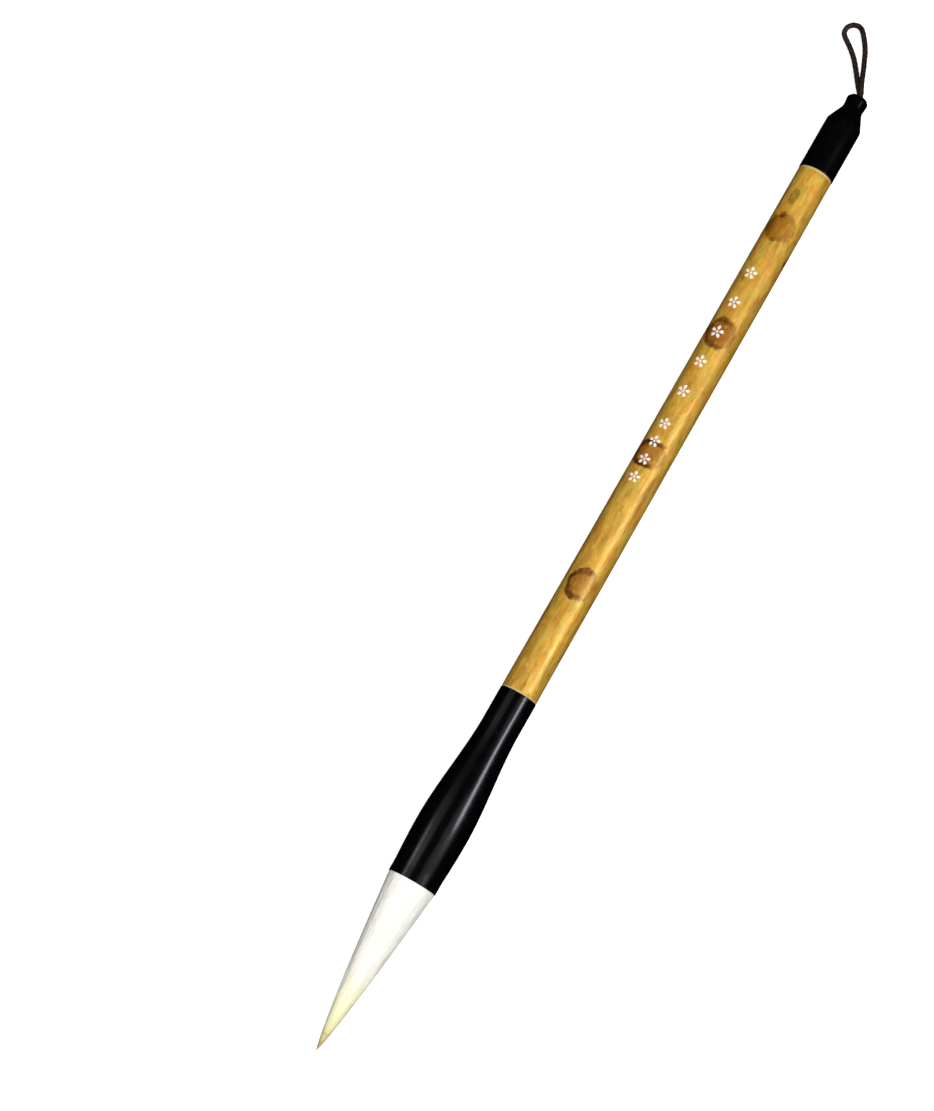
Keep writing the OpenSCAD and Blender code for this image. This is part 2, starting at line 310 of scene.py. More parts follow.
loop_line = smooth_route([Vector((PIVOT + a, b, c)) for a, b, c in loop_route], 0.2)
loop_cord = laid_cord("loop_cord", loop_line, CORD_D / 2, cord_material)
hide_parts("hanging_loop")
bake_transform(loop_cord)


# ------------------------------------------------------------------------- knot of the loop
# Inside the tail cap both ends of the cord are tied in one overhand knot, too big for the
# hole, which lets the loop turn round but not pull out.
KNOT_AT = 250.0
CAP_HOLE_INNER = 252.3


def knot_strand(side):
    """One cord from its leg in the hole, through its turns of the knot, to its cut end."""
    points = [Vector((PIVOT - 1.5, 0, side * 0.74)), Vector((256.0, 0, side * 0.74)),
              Vector((CAP_HOLE_INNER + 0.3, 0, side * 0.76))]
    for i in range(17):
        turn = math.pi * (0.5 - 0.5 * side) + 3.1 * math.pi * i / 16
        reach = 1.3 + 0.62 * math.cos(1.5 * turn)
        points.append(Vector((
            KNOT_AT + 0.25 * side - 1.3 * math.sin(1.5 * turn - 0.4) - 0.5,
            reach * math.sin(turn), reach * math.cos(turn))))
    points.append(Vector((KNOT_AT - 3.4, 0.5 * side, 0.7 * side)))
    return smooth_route(points, 0.22)


for side, leg in ((1, "upper"), (-1, "lower")):
    strand = laid_cord(f"loop_knot_{leg}", knot_strand(side), 0.6, cord_material, sides=16)
    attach(strand, "cord_end")
    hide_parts("cord_knot")


# ---------------------------------------------------------------------------- bamboo handle
# A straight length of thin bamboo between two knots, hollow, scraped, and varnished to a
# soft shine. Damp and mould have left brown rings on it. Each end is turned down to a tenon,
# which leaves a pale ring of bare wood at the edge of its skin.
FERRULE_END = 92.6
HANDLE_END = 237.7
HANDLE_R = 4.54
HANDLE_TAIL_R = 4.34
BORE_R = 2.1
TENON_R = 3.45


def bamboo_r(station):
    return HANDLE_R + (HANDLE_TAIL_R - HANDLE_R) * (station - FERRULE_END) / (HANDLE_END - FERRULE_END)


def softened(corners, steps=4, hold=0.12):
    """An outline of (radius, station, rounding) corners with each corner made a small arc.
    Two more points hold the flats straight up to the arc."""
    points = []
    count = len(corners)
    for i, (radius, station, rounding) in enumerate(corners):
        here = Vector((radius, station))
        if rounding == 0:
            points.append(here)
            continue
        back = Vector(corners[i - 1][:2]) - here
        on = Vector(corners[(i + 1) % count][:2]) - here
        back_len, on_len = back.length, on.length
        back.normalize()
        on.normalize()
        reach = min(rounding, back_len * 0.45, on_len * 0.45)
        if back_len > 2 * (reach + hold):
            points.append(here + back * (reach + hold))
        for k in range(steps + 1):
            t = k / steps
            points.append(here + back * reach * (1 - t) ** 2 + on * reach * t ** 2)
        if on_len > 2 * (reach + hold):
            points.append(here + on * (reach + hold))
    return [(p.x, p.y) for p in points]


def turned(name, outline, sides, material, uneven=None):
    """A piece turned on a lathe from its half section, (radius, station) points in order.
    A closed section has no point on the axis. uneven(roll, station, radius) moves its surface.
    Its UV map holds the roll from the top towards the left, and the station."""
    corners, rows = [], []
    for radius, station in outline:
        if radius < 1e-6:
            rows.append([len(corners)] * sides)
            corners.append((station, 0, 0))
            continue
        rows.append(list(range(len(corners), len(corners) + sides)))
        for k in range(sides):
            roll = 2 * math.pi * k / sides - math.pi
            reach = radius + (uneven(roll, station, radius) if uneven else 0)
            corners.append((station, reach * math.sin(roll), reach * math.cos(roll)))
    faces, shares = [], []
    closed = outline[0][0] > 1e-6
    for i in range(len(rows) if closed else len(rows) - 1):
        j = (i + 1) % len(rows)
        for k in range(sides):
            k2 = (k + 1) % sides
            ring = [(rows[i][k], k, i), (rows[i][k2], k + 1, i), (rows[j][k2], k + 1, j), (rows[j][k], k, j)]
            kept = [c for n, c in enumerate(ring) if c[0] != ring[n - 1][0]]
            faces.append([c[0] for c in kept])
            shares.append([(c[1] / sides, outline[c[2]][1] / BRUSH_LEN) for c in kept])
    piece = make_piece(name, corners, faces, material)
    uv = piece.data.uv_layers.new(name="turned")
    for face, share in zip(piece.data.polygons, shares):
        for index, where in zip(face.loop_indices, share):
            uv.data[index].uv = where
    outwards(piece)
    return piece


def outwards(piece):
    """Turns the faces of a closed piece outwards."""
    work = bmesh.new()
    work.from_mesh(piece.data)
    bmesh.ops.recalc_face_normals(work, faces=work.faces)
    work.to_mesh(piece.data)
    work.free()


def stations(first, last, count):
    return [first + (last - first) * i / count for i in range(count + 1)]


def stain_group():
    """A water stain: a brown patch with a darker rim, whose edge wanders."""
    tree = bpy.data.node_groups.new("stain", "ShaderNodeTree")
    for name, kind in (("Colour", "Color"), ("Where", "Vector"), ("Place", "Vector"), ("Half Size", "Vector"),
                       ("Fill", "Float"), ("Rim", "Float"), ("Wander", "Float"), ("Tint", "Color")):
        tree.interface.new_socket(name, in_out="INPUT", socket_type="NodeSocket" + kind)
    tree.interface.new_socket("Colour", in_out="OUTPUT", socket_type="NodeSocketColor")
    given = add(tree, "NodeGroupInput").outputs

    def on_map(operation, a, b):
        return add(tree, "ShaderNodeVectorMath", {0: a, 1: b}, operation=operation).outputs[0]

    shares = on_map("DIVIDE", on_map("SUBTRACT", given["Where"], given["Place"]), given["Half Size"])
    # The place is added too, so that no two stains wander alike.
    at = on_map("ADD", given["Where"], given["Place"])
    bend = cloudy(tree, at, 0.33, 3, 0.6)
    distance = add(tree, "ShaderNodeVectorMath", {0: shares}, operation="LENGTH").outputs["Value"]
    wander = sums(tree, "MULTIPLY", sums(tree, "SUBTRACT", bend, 0.5), given["Wander"])
    distance = sums(tree, "ADD", distance, wander)
    patchy = cloudy(tree, at, 0.8, 3, 0.6)
    inside = sums(tree, "MULTIPLY", spread(tree, distance, 1.0, 0.86), given["Fill"])
    inside = sums(tree, "MULTIPLY", inside, spread(tree, patchy, 0.2, 0.65, 0.55, 1.0))
    rim_out = spread(tree, distance, 1.04, 0.97)
    # The rim is widest and darkest on the stain's left half, and fades towards its right edge.
    left_share = spread(tree, add(tree, "ShaderNodeSeparateXYZ", {0: shares}).outputs[0], -1.05, 0.15)
    rim_from = spread(tree, left_share, 0, 1, 0.84, 0.56)
    rim_in = add(tree, "ShaderNodeMapRange", {
        "Value": distance, "From Min": rim_from, "From Max": sums(tree, "ADD", rim_from, 0.2)},
        interpolation_type="SMOOTHSTEP").outputs[0]
    rim = sums(tree, "MULTIPLY", sums(tree, "MULTIPLY", rim_out, rim_in), given["Rim"])
    rim = sums(tree, "MULTIPLY", rim, spread(tree, left_share, 0, 1, 0.25, 1.0))
    rim = sums(tree, "MULTIPLY", rim, spread(tree, cloudy(tree, at, 0.4, 2), 0.3, 0.55, 0.45, 1.0))
    tone = paint_over(tree, inside, given["Colour"], given["Tint"], "MULTIPLY")
    tone = paint_over(tree, rim, tone, (0.20, 0.08, 0.03, 1), "MULTIPLY")
    add(tree, "NodeGroupOutput", {"Colour": tone})
    return tree


# Stains: station, distance round the handle from its top towards its left, their two half
# sizes, how strongly the patch and its rim show, how far the edge wanders, and the tint.
stain_tints = {"brown": (0.56, 0.31, 0.22, 1), "dark": (0.46, 0.23, 0.12, 1), "amber": (0.60, 0.38, 0.16, 1),
               "red": (0.30, 0.12, 0.08, 1), "grey": (0.48, 0.42, 0.36, 1)}
stains = [
    (121.6, -0.2, 4.2, 3.9, 0.85, 0.95, 0.6, "brown"),
    (119.4, 1.9, 1.1, 1.2, 0.6, 0.0, 0.8, "dark"),
    (124.7, 0.9, 0.8, 0.9, 0.6, 0.0, 0.8, "dark"),
    (156.8, 1.6, 3.4, 5.0, 0.85, 0.9, 0.5, "brown"),
    (153.7, 1.4, 0.7, 3.2, 0.75, 0.0, 0.7, "dark"),
    (159.8, 1.2, 0.7, 3.4, 0.75, 0.0, 0.7, "dark"),
    (190.5, 0.9, 4.2, 4.4, 0.95, 0.7, 0.6, "dark"),
    (220.6, 0.8, 3.9, 4.3, 0.95, 0.4, 0.7, "amber"),
    (220.2, 4.6, 4.4, 2.6, 0.35, 0.0, 0.7, "amber"),
    (223.8, 2.0, 1.0, 0.8, 0.85, 0.0, 0.8, "red"),
    (228.8, 1.8, 2.4, 1.3, 0.85, 0.0, 0.9, "grey"),
    (95.4, -0.1, 2.4, 0.3, 0.6, 0.0, 0.9, "red"),
    (130.8, -2.3, 4.5, 0.4, 0.5, 0.0, 0.9, "brown"),
    (145.0, -2.9, 9.0, 0.7, 0.6, 0.0, 0.9, "brown"),
    (176.0, 1.2, 1.2, 0.5, 0.5, 0.0, 0.9, "brown"),
    (206.0, 2.6, 2.0, 0.8, 0.5, 0.0, 0.9, "brown"),
    (112.0, 8.5, 3.0, 3.4, 0.7, 0.8, 0.5, "brown"),
    (148.0, -9.0, 4.0, 3.0, 0.7, 0.8, 0.5, "amber"),
    (183.0, 10.5, 3.2, 2.6, 0.7, 0.9, 0.5, "brown"),
    (214.0, -8.2, 2.6, 3.4, 0.7, 0.7, 0.5, "amber"),
]


def stained_bamboo():
    """Varnished bamboo skin: fibres run along it, over slow changes from straw to olive and orange."""
    material, tree, shader = surface("stained_bamboo")
    at = brush_coordinates(tree)
    slow = cloudy(tree, brush_coordinates(tree, (7, 1.6, 1.6)), 1.0, 3, 0.55)
    warm = cloudy(tree, brush_coordinates(tree, (5, 2.0, 2.0)), 1.3, 2, 0.5, 0.4)
    fibre = cloudy(tree, brush_coordinates(tree, (26, 0.32, 0.32)), 1.0, 3, 0.6)
    hair = cloudy(tree, brush_coordinates(tree, (14, 0.11, 0.11)), 1.0, 2, 0.6)
    fleck = cloudy(tree, brush_coordinates(tree, (2.4, 0.5, 0.5)), 1.0, 2, 0.6)
    mottle = cloudy(tree, brush_coordinates(tree, (2.6, 1.0, 1.0)), 1.0, 3, 0.6, 0.6)
    tone = paint_over(tree, spread(tree, slow, 0.36, 0.64), (0.50, 0.235, 0.025, 1), (0.72, 0.43, 0.060, 1))
    tone = paint_over(tree, spread(tree, warm, 0.5, 0.66, 0, 0.8), tone, (0.72, 0.29, 0.022, 1))
    tone = paint_over(tree, spread(tree, warm, 0.46, 0.3, 0, 0.75), tone, (0.50, 0.40, 0.046, 1))
    tone = paint_over(tree, spread(tree, mottle, 0.55, 0.70, 0, 0.75), tone, (0.35, 0.20, 0.022, 1))
    tone = paint_over(tree, spread(tree, mottle, 0.44, 0.3, 0, 0.7), tone, (0.82, 0.54, 0.090, 1))
    tone = paint_over(tree, spread(tree, fibre, 0.52, 0.75, 0, 0.5), tone, (0.32, 0.145, 0.018, 1))
    tone = paint_over(tree, spread(tree, fibre, 0.45, 0.22, 0, 0.4), tone, (0.86, 0.57, 0.12, 1))
    tone = paint_over(tree, spread(tree, hair, 0.5, 0.8, 0, 0.3), tone, (0.35, 0.18, 0.028, 1))
    tone = paint_over(tree, spread(tree, fleck, 0.6, 0.75, 0, 0.5), tone, (0.28, 0.12, 0.014, 1))
    map_at = add(tree, "ShaderNodeUVMap", uv_map="turned").outputs[0]
    round_mm = 2 * math.pi * (HANDLE_R + HANDLE_TAIL_R) / 2
    where = add(tree, "ShaderNodeMapping", {
        "Vector": map_at, "Location": (-round_mm / 2, 0, 0), "Scale": (round_mm, BRUSH_LEN, 1)}).outputs[0]
    group = stain_group()
    for station, turn, half_long, half_round, fill, rim, wander, tint in stains:
        patch = add(tree, "ShaderNodeGroup", {}, node_tree=group)
        tree.links.new(tone, patch.inputs["Colour"])
        tree.links.new(where, patch.inputs["Where"])
        patch.inputs["Place"].default_value = (turn, station, 0)
        patch.inputs["Half Size"].default_value = (half_round, half_long, 1)
        patch.inputs["Fill"].default_value = fill
        patch.inputs["Rim"].default_value = rim
        patch.inputs["Wander"].default_value = wander
        patch.inputs["Tint"].default_value = stain_tints[tint]
        tone = patch.outputs["Colour"]
    station_at = add(tree, "ShaderNodeSeparateXYZ", {0: at}).outputs[0]
    bare_front = spread(tree, station_at, FERRULE_END + 0.5, FERRULE_END + 0.2)
    bare_back = spread(tree, station_at, HANDLE_END - 0.7, HANDLE_END - 0.35)
    bare = sums(tree, "MAXIMUM", bare_front, bare_back)
    tone = paint_over(tree, bare, tone, (0.74, 0.56, 0.25, 1))
    tree.links.new(tone, shader.inputs["Base Color"])
    rough = spread(tree, fibre, 0.3, 0.75, 0.33, 0.43)
    tree.links.new(sums(tree, "ADD", rough, sums(tree, "MULTIPLY", bare, 0.3)), shader.inputs["Roughness"])
    shader.inputs["IOR"].default_value = 2.0
    shader.inputs["Specular IOR Level"].default_value = 1.0
    shader.inputs["Specular Tint"].default_value = (1.0, 0.72, 0.25, 1)
    grain = sums(tree, "ADD", sums(tree, "MULTIPLY", fibre, 0.7), sums(tree, "MULTIPLY", hair, 0.3))
    relief(tree, shader, grain, 0.05)
    return material


def grown(roll, station, radius):
    """Bamboo is never quite round or straight sided."""
    if radius < 4.1:
        return 0.0
    slow = 0.018 * math.sin(2 * roll + station / 19) + 0.012 * math.sin(3 * roll - station / 11)
    return slow + 0.006 * math.sin(11 * roll + station / 31) - 0.02


handle_outline = softened([
    (BORE_R, FERRULE_END - 11, 0.2), (TENON_R, FERRULE_END - 11, 0.3), (TENON_R, FERRULE_END, 0),
    (HANDLE_R - 0.15, FERRULE_END, 0.05),
])
handle_outline += [(bamboo_r(s), s) for s in stations(FERRULE_END + 0.3, HANDLE_END - 0.3, 96)]
handle_outline += softened([
    (HANDLE_TAIL_R - 0.15, HANDLE_END, 0.05), (TENON_R, HANDLE_END, 0),
    (TENON_R, HANDLE_END + 8, 0.3), (BORE_R, HANDLE_END + 8, 0.2),
])
handle = turned("handle_bamboo", handle_outline, 112, stained_bamboo(), grown)
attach(handle, "brush")
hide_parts("bamboo_handle")


# ------------------------------------------------------------------------- painted blossoms
# Plum blossoms cut shallowly into the skin and filled with flat white paint, four small and
# five large. Each is five petals and an eye, and the paint has worn thin in places.
LARGE_FROM, LARGE_STEP, LARGE_COUNT = 174, 8.3, 5
SMALL_FROM, SMALL_STEP, SMALL_COUNT, SMALL_SHARE = 150.2, 4.9, 4, 0.92
PETAL_R = 0.56
BLOSSOM_TURN = math.radians(22)


def worn_paint():
    material, tree, shader = surface("worn_paint")
    at = brush_coordinates(tree)
    worn = cloudy(tree, at, 2.6, 4, 0.65)
    grain = cloudy(tree, brush_coordinates(tree, (3, 0.3, 0.3)), 1.5, 2)
    tone = paint_over(tree, spread(tree, grain, 0.35, 0.7), (0.93, 0.90, 0.83, 1), (0.80, 0.76, 0.66, 1))
    tone = paint_over(tree, spread(tree, worn, 0.56, 0.74, 0, 0.85), tone, (0.66, 0.48, 0.22, 1))
    tree.links.new(tone, shader.inputs["Base Color"])
    tree.links.new(spread(tree, worn, 0.3, 0.7, 0.7, 0.5), shader.inputs["Roughness"])
    relief(tree, shader, worn, 0.05)
    return material


def dab(station, turn, half_long, half_round, heading, corners, faces, wobble):
    """A dab of paint that lies on the round handle, as a thin closed pad."""
    sides = 18
    shares = ((0.35, 0.05), (0.65, 0.048), (0.85, 0.036), (0.97, 0.012), (1.0, -0.07))
    first = len(corners)

    def on_skin(forward, sideways, height):
        x = station + forward * math.cos(heading) - sideways * math.sin(heading)
        roll = turn + (forward * math.sin(heading) + sideways * math.cos(heading)) / bamboo_r(x)
        reach = bamboo_r(x) + height
        corners.append((x, reach * math.sin(roll), reach * math.cos(roll)))

    on_skin(0, 0, 0.05)
    for share, height in shares:
        for k in range(sides):
            angle = 2 * math.pi * k / sides
            ragged = 0.09 * math.sin(3 * angle + wobble) + 0.05 * math.sin(5 * angle - 2 * wobble)
            reach = share * (1 + ragged)
            # The dab is fuller at its outer end.
            width = half_round * (0.82 + 0.18 * math.cos(angle))
            on_skin(reach * half_long * math.cos(angle), reach * width * math.sin(angle), height)
    on_skin(0, 0, -0.07)
    for k in range(sides):
        k2 = (k + 1) % sides
        faces.append((first, first + 1 + k, first + 1 + k2))
        for row in range(len(shares) - 1):
            a = first + 1 + row * sides
            faces.append((a + k, a + sides + k, a + sides + k2, a + k2))
        last = first + 1 + (len(shares) - 1) * sides
        faces.append((last + k, last + sides, last + k2))


def blossom(station, share, corners, faces):
    dab(station, BLOSSOM_TURN, 0.36 * share, 0.36 * share, 0, corners, faces, station)
    for k in range(5):
        heading = 2 * math.pi * k / 5
        out = PETAL_R * 1.9 * share
        where = BLOSSOM_TURN + out * math.sin(heading) / bamboo_r(station)
        dab(station + out * math.cos(heading), where, PETAL_R * share, PETAL_R * share * 0.92,
            heading, corners, faces, station + 2 * k)


corners, faces = [], []
for i in range(SMALL_COUNT):
    blossom(SMALL_FROM + SMALL_STEP * i, SMALL_SHARE, corners, faces)
for i in range(LARGE_COUNT):
    blossom(LARGE_FROM + LARGE_STEP * i, 1, corners, faces)
blossoms = make_piece("blossom_paint", corners, faces, worn_paint())
outwards(blossoms)
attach(blossoms, "brush")
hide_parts("painted_blossoms")


# ---------------------------------------------------------------------------------- ferrule
# The ferrule is turned from black resin like buffalo horn: a deep cup for the hair, a full
# belly, a long taper and a socket for the bamboo. It is polished, with a straight land at its mouth.
MOUTH = 43.2
MOUTH_R = 6.05
BELLY_AT = 14
BELLY_R = 6.42
FERRULE_END_R = 4.6
LAND = 3
TAPER_END = 41.5
CUP_R = 5.3
CUP_DEPTH = 15
LIP_R = 5.88
SOCKET_R = 3.55
VENT_R = 1.5


def black_lacquer():
    """Polished black: faint turning rings and hairline scratches only show in the gloss."""
    material, tree, shader = surface("black_lacquer")
    rings = cloudy(tree, brush_coordinates(tree, (0.22, 9, 9)), 1.0, 2, 0.5)
    scratches = cloudy(tree, brush_coordinates(tree, (9, 0.14, 0.14)), 1.0, 2, 0.6)
    smears = cloudy(tree, brush_coordinates(tree, (3.5, 2.2, 2.2)), 1.0, 4, 0.6)
    tone = paint_over(tree, spread(tree, smears, 0.4, 0.75),
                      (0.0011, 0.0011, 0.0014, 1), (0.002, 0.002, 0.0024, 1))
    tree.links.new(tone, shader.inputs["Base Color"])
    rough = spread(tree, smears, 0.3, 0.75, 0.19, 0.24)
    rough = sums(tree, "ADD", rough, spread(tree, scratches, 0.62, 0.8, 0, 0.05))
    tree.links.new(rough, shader.inputs["Roughness"])
    shader.inputs["IOR"].default_value = 1.5
    height = sums(tree, "ADD", sums(tree, "MULTIPLY", rings, 0.6), sums(tree, "MULTIPLY", scratches, 0.4))
    relief(tree, shader, height, 0.0012)
    return material


def ease(t):
    t = min(1, max(0, t))
    return t * t * (3 - 2 * t)


def ferrule_r(depth):
    """Outer radius at a depth behind the mouth."""
    if depth < BELLY_AT:
        rise = math.sin(math.pi / 2 * (depth - LAND) / (BELLY_AT - LAND))
        return MOUTH_R + (BELLY_R - MOUTH_R) * rise
    return BELLY_R - (BELLY_R - FERRULE_END_R) * ease((depth - BELLY_AT) / (TAPER_END - BELLY_AT))


lacquer = black_lacquer()
ferrule_outline = softened([
    (CUP_R, MOUTH + CUP_DEPTH, 0.3), (CUP_R, MOUTH + LAND, 0.4), (LIP_R, MOUTH, 0.04),
    (MOUTH_R, MOUTH, 0.12), (MOUTH_R, MOUTH + LAND - 0.5, 0),
])
ferrule_outline += [(ferrule_r(d), MOUTH + d) for d in stations(LAND, TAPER_END, 72)]
ferrule_outline += softened([
    (FERRULE_END_R, FERRULE_END - 0.3, 0), (FERRULE_END_R, FERRULE_END, 0.14), (SOCKET_R, FERRULE_END, 0.04),
    (SOCKET_R, FERRULE_END - 11.5, 0.2), (VENT_R, FERRULE_END - 11.5, 0.1), (VENT_R, MOUTH + CUP_DEPTH, 0.1),
])
ferrule = turned("ferrule_shell", ferrule_outline, 144, lacquer)
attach(ferrule, "brush")
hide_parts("ferrule")


# --------------------------------------------------------------------------------- tail cap
# The cap is turned from the same black resin. Its straight part takes the bamboo's tenon, and
# a sloping shoulder runs into a narrow neck and a flared knob with the cord's hole through it.
CAP_R = 4.46
CAP_EDGE = 252.1
NECK = 256.4
NECK_R = 2.5
KNOB_R = 2.7
KNOB_TOP_R = 2.1
CORD_HOLE_R = 1.45
CAVITY_R = 2.7
CAP_SOCKET_END = HANDLE_END + 8.3

cap_outline = softened([
    (SOCKET_R, HANDLE_END, 0.04), (CAP_R, HANDLE_END, 0.14), (CAP_R, CAP_EDGE, 0.45),
    (NECK_R + 0.1, NECK - 0.2, 0.6), (NECK_R + 0.02, NECK + 0.5, 0.4),
    (KNOB_R, 258.9, 0.25), (KNOB_R, 259.2, 0.1), (KNOB_TOP_R, BRUSH_LEN, 0.2),
    (CORD_HOLE_R, BRUSH_LEN, 0.15), (CORD_HOLE_R, CAP_HOLE_INNER, 0.1),
    (CAVITY_R, CAP_HOLE_INNER, 0.3), (CAVITY_R, CAP_SOCKET_END, 0.05), (SOCKET_R, CAP_SOCKET_END, 0.05),
], steps=6)
cap = turned("tail_cap_shell", cap_outline, 128, lacquer)
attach(cap, "brush")
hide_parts("tail_cap")


# ------------------------------------------------------------------------------------- tuft
# The tuft is three layers of hair: a core of stiff tan weasel hair that makes the point, short
# padding round its root, and a mantle of long white goat hair, starched to a smooth cone.
HAIR_LEN = 43.2
HAIR_R = 5.8
TAPER_POWER = 0.765
CORE_SHARE = 0.55
PADDING_SHARE = 0.8
ROOT_AT = 56.4
FLEX_AT = 31.2
MANTLE_END = 5.2
WAIST_R = 4.45
WAIST_FROM = 52.8
WAIST_LEN = 2.8


def tuft_r(station):
    """Outer radius of the tuft, in front of the ferrule and inside its cup."""
    if station <= MOUTH:
        return HAIR_R * max(0.0, station / HAIR_LEN) ** TAPER_POWER
    depth = station - MOUTH
    return HAIR_R - (HAIR_R - CUP_R + 0.06) * min(1, depth / LAND) - 0.6 * ease((depth - LAND) / 6)


def core_r(station):
    """The core fills the whole tuft beyond the end of the mantle."""
    opened = min(1, max(0, (FLEX_AT - station) / (FLEX_AT - MANTLE_END))) ** 2
    return tuft_r(station) * (CORE_SHARE + (1 - CORE_SHARE) * opened)


def tuft_hair(name, light, dark, tip_tone, tip_from, tip_to):
    """Hair coloured by its own tone and by its station, both held as attributes."""
    material, tree, shader = surface(name)
    tone_at = add(tree, "ShaderNodeAttribute", attribute_name="tone").outputs["Fac"]
    station_at = add(tree, "ShaderNodeAttribute", attribute_name="station").outputs["Fac"]
    patches = cloudy(tree, brush_coordinates(tree, (9, 2.4, 2.4)), 1.0, 3, 0.55)
    tone = paint_over(tree, tone_at, light, dark)
    cream = spread(tree, station_at, 34, 14, 0.05, 0.55)
    cream = sums(tree, "MULTIPLY", spread(tree, patches, 0.42, 0.68), cream)
    tone = paint_over(tree, cream, tone, (0.90, 0.83, 0.55, 1), "MULTIPLY")
    tone = paint_over(tree, spread(tree, station_at, 21, 9), tone, (0.97, 0.975, 0.70, 1), "MULTIPLY")
    reach = sums(tree, "ADD", station_at, sums(tree, "MULTIPLY", sums(tree, "SUBTRACT", tone_at, 0.5), 3.0))
    tone = paint_over(tree, spread(tree, reach, tip_from, tip_to), tone, tip_tone)
    tone = paint_over(tree, spread(tree, reach, 3.4, 0.3, 0, 0.7), tone, (0.34, 0.20, 0.085, 1))
    tree.links.new(tone, shader.inputs["Base Color"])
    tree.links.new(spread(tree, tone_at, 0, 1, 0.42, 0.6), shader.inputs["Roughness"])
    shader.inputs["Sheen Weight"].default_value = 0.12
    relief(tree, shader, cloudy(tree, brush_coordinates(tree, (12, 0.12, 0.12)), 1.0, 2), 0.02)
    return material


def combed(depth, seed):
    """Ridges where locks of hair lie side by side; they run to the tip and fade with the tuft."""
    chance = random.Random(seed)
    waves = [(count, chance.uniform(0, 6.3), chance.uniform(-0.02, 0.02)) for count in (23, 31, 47, 61, 83)]

    def ridge(roll, station, radius):
        share = min(1, radius / 3)
        total = sum(math.sin(count * roll + phase + twist * station) for count, phase, twist in waves)
        return depth * share * (total / 3 - 0.8)

    return ridge


def mark_hair(piece, sides):
    """Gives each corner of a layer its station and a tone that changes from lock to lock."""
    chance = random.Random(7)
    tones = [chance.random() for _ in range(sides)]
    back = brush_frame.inverted()
    station = piece.data.attributes.new("station", "FLOAT", "POINT")
    tone = piece.data.attributes.new("tone", "FLOAT", "POINT")
    for vertex in piece.data.vertices:
        x, y, z = back @ vertex.co
        station.data[vertex.index].value = x
        tone.data[vertex.index].value = tones[round(math.atan2(y, z) / (2 * math.pi) * sides) % sides]


def bending(piece, slot_name, *nodes):
    """A layer of hair: its place is baked into its mesh, and the parts it stands for are hidden."""
    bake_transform(piece)
    if nodes:
        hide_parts(*nodes)


goat = tuft_hair("goat_hair", (0.97, 0.965, 0.92, 1), (0.92, 0.905, 0.83, 1), (0.74, 0.69, 0.36, 1), 11, 2)
weasel = tuft_hair("weasel_hair", (0.88, 0.81, 0.56, 1), (0.70, 0.58, 0.33, 1), (0.66, 0.52, 0.26, 1), 6, 1)

mantle_outline = [(tuft_r(s), s) for s in stations(MANTLE_END - 1.2, MOUTH - 0.2, 60)]
mantle_outline += [(tuft_r(s), s) for s in stations(MOUTH, WAIST_FROM - 0.4, 14)]
mantle_outline += [(WAIST_R, WAIST_FROM), (WAIST_R, WAIST_FROM + WAIST_LEN)]
mantle_outline += [(tuft_r(ROOT_AT), ROOT_AT - 0.4), (tuft_r(ROOT_AT) - 0.3, ROOT_AT)]
mantle_outline += [(tuft_r(s) * PADDING_SHARE, s) for s in stations(ROOT_AT, FLEX_AT, 10)]
mantle_outline += [(core_r(s) + 0.03, s) for s in stations(FLEX_AT - 3, MANTLE_END + 3, 12)]
mantle = turned("mantle_hair", mantle_outline, 240, goat, combed(0.05, 3))
mark_hair(mantle, 240)
bending(mantle, "goat_hair", "mantle_hair_root", "mantle_hair_tip")

padding_outline = [(tuft_r(s) * PADDING_SHARE - 0.03, s) for s in stations(FLEX_AT - 1, ROOT_AT, 16)]
padding_outline += [(tuft_r(s) * CORE_SHARE + 0.03, s) for s in stations(ROOT_AT, FLEX_AT - 1, 16)]
padding = turned("padding_hair_layer", padding_outline, 160, goat, combed(0.03, 5))
mark_hair(padding, 160)
bending(padding, "goat_hair", "padding_hair")

core_outline = [(0, 0)] + [(core_r(s), s) for s in stations(0.25, 30, 48)]
core_outline += [(core_r(s), s) for s in stations(31, ROOT_AT, 20)] + [(0, ROOT_AT)]
core = turned("core_hair", core_outline, 160, weasel, combed(0.03, 9))
mark_hair(core, 160)
bending(core, "weasel_hair", "core_hair_root", "core_hair_tip")


